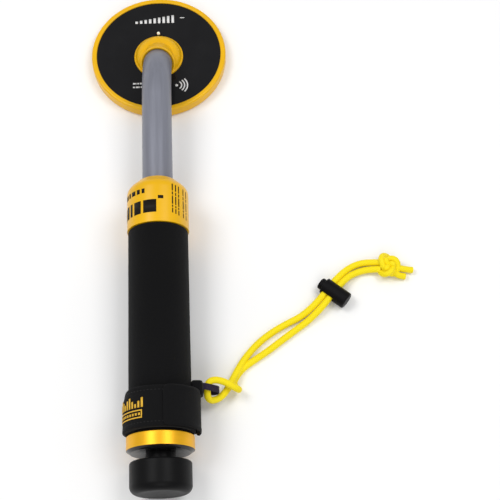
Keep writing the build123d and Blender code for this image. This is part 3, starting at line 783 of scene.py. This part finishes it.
class PINPOINTER_OT_strap(Operator):
    """Wraps the hook-and-loop strap round the grip, with its flap, tab and seams"""

    bl_idname = "pinpointer.strap"
    bl_label = "Strap"

    def execute(self, context):
        colour = tuple(context.scene.pinpointer_colours.fabric)
        cloth = knit_fabric("strap_cloth", varied(colour, 0.2), 0.55, 0.07, 0.2)
        thread = moulded("strap_thread", varied(colour, 0.5), 0.6, 2600.0, 0.03)
        hooks = knit_fabric("hook_tape", varied(colour, -0.3), 0.9, 0.2, 0.3)
        self.band(cloth, thread, context)
        self.patch(hooks)
        self.flap(cloth, thread, context)
        self.tab(cloth)
        return {"FINISHED"}

    def band(self, cloth, thread, context):
        """The full turn round the grip, standing off it a little on the left."""
        across, up, radius = BAND_ROUND
        wall, rim, hem, grip_skin = 2.3 * MM, 0.9 * MM, 3.2 * MM, 24.4 * MM
        roll_height, puff_height = 0.25 * MM, 0.22 * MM
        mesh = bmesh.new()
        spin_profile(mesh, rounded_tube_profile(radius - wall, radius, STRAP_START, STRAP_END,
                                                rim, rows=24), 220)
        for vert in mesh.verts:
            out = Vector((vert.co.x, vert.co.y, 0))
            if out.length < radius - 1.6 * MM:
                # The inside lies on the grip, whose axis is not the strap's own.
                out = Vector((across, up, 0)) + out
                flat = out.normalized() * grip_skin
                vert.co.x, vert.co.y = flat.x, flat.y
                continue
            vert.co.x += across
            vert.co.y += up
            edge = min(vert.co.z - STRAP_START, STRAP_END - vert.co.z)
            roll = sin(pi * edge / hem) * roll_height if 0 < edge < hem else 0
            puff = noise.noise(vert.co * 55.0) * puff_height
            vert.co += out.normalized() * (roll + puff)
        self.loose_corner(mesh)
        cloth_map(mesh, radius, (across, up))
        make_piece("strap_round", mesh, cloth, HANDLE,
                   ("strap_band",))
        seams = bmesh.new()
        stitch = context.scene.pinpointer_sizes.stitch_length
        seam_inset = hem + 0.4 * MM
        for station in (STRAP_START + seam_inset, STRAP_END - seam_inset):
            stitch_row(seams, -2.55 * radius, 0.55 * radius, station, stitch, 0.02 * MM)
        wrap_round(seams, BAND_ROUND)
        self.loose_corner(seams)
        make_piece("strap_round_seams", seams, thread, HANDLE)

    def loose_corner(self, mesh):
        """Draws in the front corner of the loose left side."""
        across, up, radius = BAND_ROUND
        depth, reach, first = 2.6 * MM, 9 * MM, 0.72
        for vert in mesh.verts:
            out = Vector((vert.co.x - across, vert.co.y - up, 0))
            if out.length < radius - 1.6 * MM or vert.co.z > STRAP_START + reach:
                continue
            side = max(0.0, -out.normalized().x - first) / (1 - first)
            share = 1 - (vert.co.z - STRAP_START) / reach
            vert.co -= out.normalized() * (depth * side * share)

    def patch(self, hooks):
        """The hook tape between the band and the flap."""
        across, up, radius = PATCH_ROUND
        inset, hem, thickness, sink = 1.2 * MM, 1.5 * MM, 0.7 * MM, 0.35 * MM
        mesh = cloth_strip((0.2 * radius, 2.0 * radius),
                           (STRAP_START + inset, STRAP_END - inset), -thickness, hem, hem, 60)
        wrap_round(mesh, (across, up, radius - sink))
        make_piece("hook_tape", mesh, hooks, HANDLE,
                   ("strap_hook_patch",))

    def flap(self, cloth, thread, context):
        """The strap's free end, folded over the band on the right."""
        across, up, radius = FLAP_ROUND
        arc = (0.1 * radius, 2.05 * radius)
        hem, corner, thickness = 3.2 * MM, 4.0 * MM, 1.1 * MM
        mid_layer = (across, up, radius - 0.4 * MM)
        mesh = cloth_strip(arc, (STRAP_START + 0.2 * MM, STRAP_END - 0.1 * MM), -thickness,
                           hem, corner, 96, wave=0.35 * MM, seed=3.0)
        self.taper_start(mesh, arc[0])
        wrap_round(mesh, mid_layer)
        make_piece("strap_free_end", mesh, cloth, HANDLE,
                   ("strap_flap",))
        seams = bmesh.new()
        stitch = context.scene.pinpointer_sizes.stitch_length
        seam_inset = hem + 0.4 * MM
        for station in (STRAP_START + seam_inset, STRAP_END - seam_inset):
            stitch_row(seams, arc[0] + 9 * MM, arc[1] - 4 * MM, station, stitch, -0.1 * MM)
        self.taper_start(seams, arc[0])
        wrap_round(seams, mid_layer)
        make_piece("strap_free_end_seams", seams, thread, HANDLE)

    def taper_start(self, mesh, start):
        """Brings the flap's start down on to the band."""
        run, drop = 9 * MM, 0.9 * MM
        for vert in mesh.verts:
            share = (vert.co.x - start) / run
            if share < 1:
                vert.co.z -= drop * (1 - max(0.0, share)) ** 2

    def tab(self, cloth):
        """The folded tab in front of the flap that holds the webbing loop."""
        low = Vector((23.9 * MM, -6.4 * MM, TAB_START))
        high = Vector((33.2 * MM, 6.2 * MM, TAB_END))
        middle, half = (low + high) / 2, (high - low) / 2
        mesh = bmesh.new()
        bmesh.ops.create_cube(mesh, size=2.0)
        bmesh.ops.subdivide_edges(mesh, edges=mesh.edges[:], cuts=14, use_grid_fill=True)
        # A block between a box and a ball: the higher the power, the squarer.
        power = 5.0
        for vert in mesh.verts:
            part = vert.co.copy()
            norm = sum(abs(value) ** power for value in part) ** (1 / power)
            part *= max(abs(value) for value in part) / norm
            place = Vector(middle[i] + vert.co[i] * half[i] for i in range(3))
            puff = 1 + 0.03 * noise.noise(place * 180)
            vert.co = Vector(middle[i] + part[i] * half[i] * puff for i in range(3))
        bmesh.ops.recalc_face_normals(mesh, faces=mesh.faces)
        box_map(mesh)
        make_piece("strap_loop_tab", mesh, cloth, HANDLE,
                   ("strap_tab",))


def box_map(mesh):
    """Gives a block a map taken from the two axes that each face lies along."""
    mesh.normal_update()
    layer = mesh.loops.layers.uv.new("cloth")
    for face in mesh.faces:
        axis = max(range(3), key=lambda i: abs(face.normal[i]))
        first, second = [i for i in range(3) if i != axis]
        for loop in face.loops:
            loop[layer].uv = (loop.vert.co[first], loop.vert.co[second])


class PINPOINTER_OT_webbing_loop(Operator):
    """Sews the narrow webbing loop that the cord is hitched to"""

    bl_idname = "pinpointer.webbing_loop"
    bl_label = "Webbing loop"

    def execute(self, context):
        length, width, tape, rows = 19.6 * MM, 9.4 * MM, 5.4 * MM, 8
        centre, dip = (36.9 * MM, -318 * MM, 18.9 * MM), radians(42)
        mesh = bmesh.new()
        ring = bmesh.ops.create_circle(mesh, cap_ends=False, segments=72,
                                       radius=width / 2)["verts"]
        for vert in ring:
            # A straight run of the loop opens between its two round ends.
            vert.co.x += (length - width) / 2 * max(-1.0, min(1.0, vert.co.x / (0.4 * MM)))
            vert.co.z = -tape / 2
        edges = list(mesh.edges)
        for _ in range(rows):
            grown = bmesh.ops.extrude_edge_only(mesh, edges=edges)
            moved = [item for item in grown["geom"] if isinstance(item, bmesh.types.BMVert)]
            bmesh.ops.translate(mesh, verts=moved, vec=(0, 0, tape / rows))
            edges = [item for item in grown["geom"] if isinstance(item, bmesh.types.BMEdge)
                     and all(vert in moved for vert in item.verts)]
        bmesh.ops.recalc_face_normals(mesh, faces=mesh.faces)
        cloth_map(mesh, width)
        place = (Matrix.Translation(centre) @ Matrix.Rotation(dip, 4, "Y")
                 @ Matrix.Rotation(pi / 2, 4, "X"))
        finish = woven_webbing("loop_webbing", shade(34, 26, 48))
        loop = make_piece("webbing_loop", mesh, finish, place,
                          ("strap_loop",))
        wall = loop.modifiers.new("thickness", "SOLIDIFY")
        wall.thickness = 1.0 * MM
        wall.offset = -1
        edge = loop.modifiers.new("edge", "BEVEL")
        edge.width = 0.35 * MM
        edge.segments = 2
        edge.limit_method = "ANGLE"
        return {"FINISHED"}


class PINPOINTER_OT_marks(Operator):
    """Prints plain marks on the head, the collar and the strap"""

    bl_idname = "pinpointer.marks"
    bl_label = "Printed marks"

    def execute(self, context):
        sizes = context.scene.pinpointer_sizes
        colours = context.scene.pinpointer_colours
        white = moulded("white_ink", tuple(colours.print_light), 0.45, 2400.0, 0.01)
        black = moulded("black_ink", shade(22, 18, 12), 0.5, 2400.0, 0.01, specular=0.15)
        yellow = moulded("strap_ink", shade(226, 176, 40), 0.6, 1200.0, 0.05, 0.16)
        self.head(sizes, white)
        self.bezel()
        self.collar(sizes, black)
        self.strap(sizes, yellow)
        return {"FINISHED"}

    def head(self, sizes, ink):
        """A row of rising level bars, two lines of dashes and a field mark."""
        mesh = bmesh.new()
        start, pitch, width = -21.0 * MM, 4.1 * MM, 2.3 * MM
        base, first_height, rise = 33.5 * MM, 2.6 * MM, 0.72 * MM
        for index in range(sizes.level_bars):
            left = start + index * pitch
            flat_patch(mesh, left, left + width, base, base + first_height + rise * index, 1)
        flat_patch(mesh, 19.5 * MM, 23.5 * MM, 38.4 * MM, 39.2 * MM, 1)
        gap, half = 0.7 * MM, 0.8 * MM
        for row, dashes in ((-30.6 * MM, (3.2, 1.6, 2.6)), (-34.4 * MM, (1.8, 3.6, 1.8))):
            left = -23.0 * MM
            for dash in dashes:
                flat_patch(mesh, left, left + dash * MM, row - half, row + half, 1)
                left += dash * MM + gap
        field, stroke = (16.0 * MM, -33.6 * MM), 1.25 * MM
        for radius, spread in ((3.4, 60), (6.0, 52), (8.6, 46)):
            self.arc(mesh, field, radius * MM, stroke, radians(spread))
        disc = bmesh.ops.create_circle(mesh, cap_ends=True, segments=20, radius=1.3 * MM)
        bmesh.ops.translate(mesh, verts=disc["verts"], vec=(15.6 * MM, -33.6 * MM, 0))
        thicken(mesh, sizes.print_height)
        make_piece("head_marks", mesh, ink,
                   Matrix.Translation((0, 0, FACE_TOP + 0.005 * MM)))

    def bezel(self):
        """The small dark collar that the indicator sits in."""
        low, high, inner, outer = FACE_TOP, FACE_TOP + 1.1 * MM, 1.56 * MM, 2.3 * MM
        mesh = bmesh.new()
        spin_profile(mesh, [(inner, low), (outer, low), (outer, high - 0.3 * MM),
                            (outer - 0.3 * MM, high), (inner, high), (inner, low)], 48)
        rubber = moulded("bezel_rubber", shade(14, 14, 14), 0.6, 1800.0, 0.02, specular=0.1)
        make_piece("indicator_bezel", mesh, rubber,
                   Matrix.Translation((0, INDICATOR_STATION, 0)))

    def arc(self, mesh, centre, radius, width, spread):
        """A flat arc that opens to the right."""
        steps = 14
        for index in range(steps):
            turn = [-spread + 2 * spread * (index + side) / steps for side in (0, 1)]
            corners = [(radius, turn[0]), (radius + width, turn[0]),
                       (radius + width, turn[1]), (radius, turn[1])]
            mesh.faces.new([mesh.verts.new((centre[0] + r * cos(t), centre[1] + r * sin(t), 0))
                            for r, t in corners])
        bmesh.ops.remove_doubles(mesh, verts=mesh.verts, dist=1e-6)

    def collar(self, sizes, ink):
        """A fine line over bold blocks on the left, and columns of fine dashes on the right."""
        mesh = bmesh.new()
        arc = COLLAR_RADIUS
        low, high = 171.2 * MM, 182.2 * MM
        for first, last in ((-95, -88), (-84, -76), (-72, -62), (-57, -50), (-45, -29),
                            (-24, 1)):
            flat_patch(mesh, radians(first) * arc, radians(last) * arc, low, high,
                       max(2, (last - first) // 3))
        for first, last in ((-78, -66), (-62, -56), (-52, -42), (-38, -31), (-27, -21)):
            flat_patch(mesh, radians(first) * arc, radians(last) * arc, 160.8 * MM,
                       164.8 * MM, 3)
        flat_patch(mesh, radians(4) * arc, radians(14) * arc, 167.8 * MM, 170.6 * MM, 3)
        start, stagger, shrink, gap, width = 156.6, 0.6, 0.88, 0.9, 2.4
        for column, angle in enumerate((30.5, 37.5, 44.5, 57.0, 67.0)):
            station = start + column * stagger
            for dash in (6.8, 3.0, 8.2, 2.0, 4.6):
                end = station + dash * shrink
                flat_patch(mesh, radians(angle) * arc, radians(angle + width) * arc,
                           station * MM, end * MM, 2)
                station = end + gap
        thicken(mesh, sizes.print_height)
        wrap_round(mesh, (0, 0, arc + 0.01 * MM))
        make_piece("collar_marks", mesh, ink, HANDLE)

    def strap(self, sizes, ink):
        """Tall bars over an outlined bar of dashes, on the strap's left."""
        mesh = bmesh.new()
        across, up, radius = BAND_ROUND
        base, pitch, width = 340.2, 6.2, 3.6
        for index, tall in enumerate((3.4, 5.6, 8.2, 6.4, 4.2, 6.8, 8.2, 5.2, 3.0, 5.0, 7.4)):
            first = radians(-87.0 + index * pitch) * radius
            flat_patch(mesh, first, first + radians(width) * radius, (base - tall) * MM,
                       base * MM, 2, 2)
        top, bottom, line, left, right = 341.9, 348.2, 0.9, -94.0, -25.0
        for low in (top, bottom - line):
            flat_patch(mesh, radians(left) * radius, radians(right) * radius, low * MM,
                       (low + line) * MM, 18)
        flat_patch(mesh, radians(right) * radius, radians(right + 2.0) * radius, top * MM,
                   bottom * MM, 1)
        for index in range(11):
            first = radians(-92.0 + index * pitch) * radius
            flat_patch(mesh, first, first + radians(width) * radius, (top + 2.2) * MM,
                       (bottom - 2.2) * MM, 2)
        thicken(mesh, sizes.print_height * 3)
        wrap_round(mesh, (across, up, radius + 0.16 * MM))
        make_piece("strap_marks", mesh, ink, HANDLE)


class PINPOINTER_OT_finishes(Operator):
    """Gives every hard part its procedural finish"""

    bl_idname = "pinpointer.finishes"
    bl_label = "Finishes"

    def execute(self, context):
        finishes = cad_finishes(context.scene.pinpointer_colours)
        for name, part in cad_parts.items():
            for place in part.material_slots:
                slot = place.material.name if place.material else ""
                if slot in finishes:
                    place.material = finishes[slot]
                elif not part.hide_render:
                    raise ValueError(f"{name} has no finish for its slot {slot!r}")
        return {"FINISHED"}


class PINPOINTER_PT_sidebar(Panel):
    """Lists the steps that build the probe's looks"""

    bl_idname = "PINPOINTER_PT_sidebar"
    bl_label = "Pinpointer"
    bl_space_type = "VIEW_3D"
    bl_region_type = "UI"
    bl_category = "Pinpointer"

    def draw(self, context):
        for step in STEPS:
            self.layout.operator(step.bl_idname)
        for settings in GROUPS:
            group = getattr(context.scene, settings)
            box = self.layout.box()
            for name in group.bl_rna.properties.keys():
                if name not in ("rna_type", "name"):
                    box.prop(group, name)


STEPS = (
    PINPOINTER_OT_stage,
    PINPOINTER_OT_cord,
    PINPOINTER_OT_grip,
    PINPOINTER_OT_strap,
    PINPOINTER_OT_webbing_loop,
    PINPOINTER_OT_marks,
    PINPOINTER_OT_finishes,
)
GROUPS = {
    "pinpointer_sizes": PinpointerSizes,
    "pinpointer_colours": PinpointerColours,
    "pinpointer_stage": PinpointerStage,
}
CLASSES = (*GROUPS.values(), *STEPS, PINPOINTER_PT_sidebar)


def register():
    for item in CLASSES:
        bpy.utils.register_class(item)
    for name, group in GROUPS.items():
        setattr(bpy.types.Scene, name, PointerProperty(type=group))


def unregister():
    for name in GROUPS:
        delattr(bpy.types.Scene, name)
    for item in reversed(CLASSES):
        bpy.utils.unregister_class(item)


def main():
    register()
    bpy.ops.pinpointer.stage()
    bpy.ops.pinpointer.cord()
    bpy.ops.pinpointer.grip()
    bpy.ops.pinpointer.strap()
    bpy.ops.pinpointer.webbing_loop()
    bpy.ops.pinpointer.marks()
    bpy.ops.pinpointer.finishes()


if __name__ == "__main__":
    main()
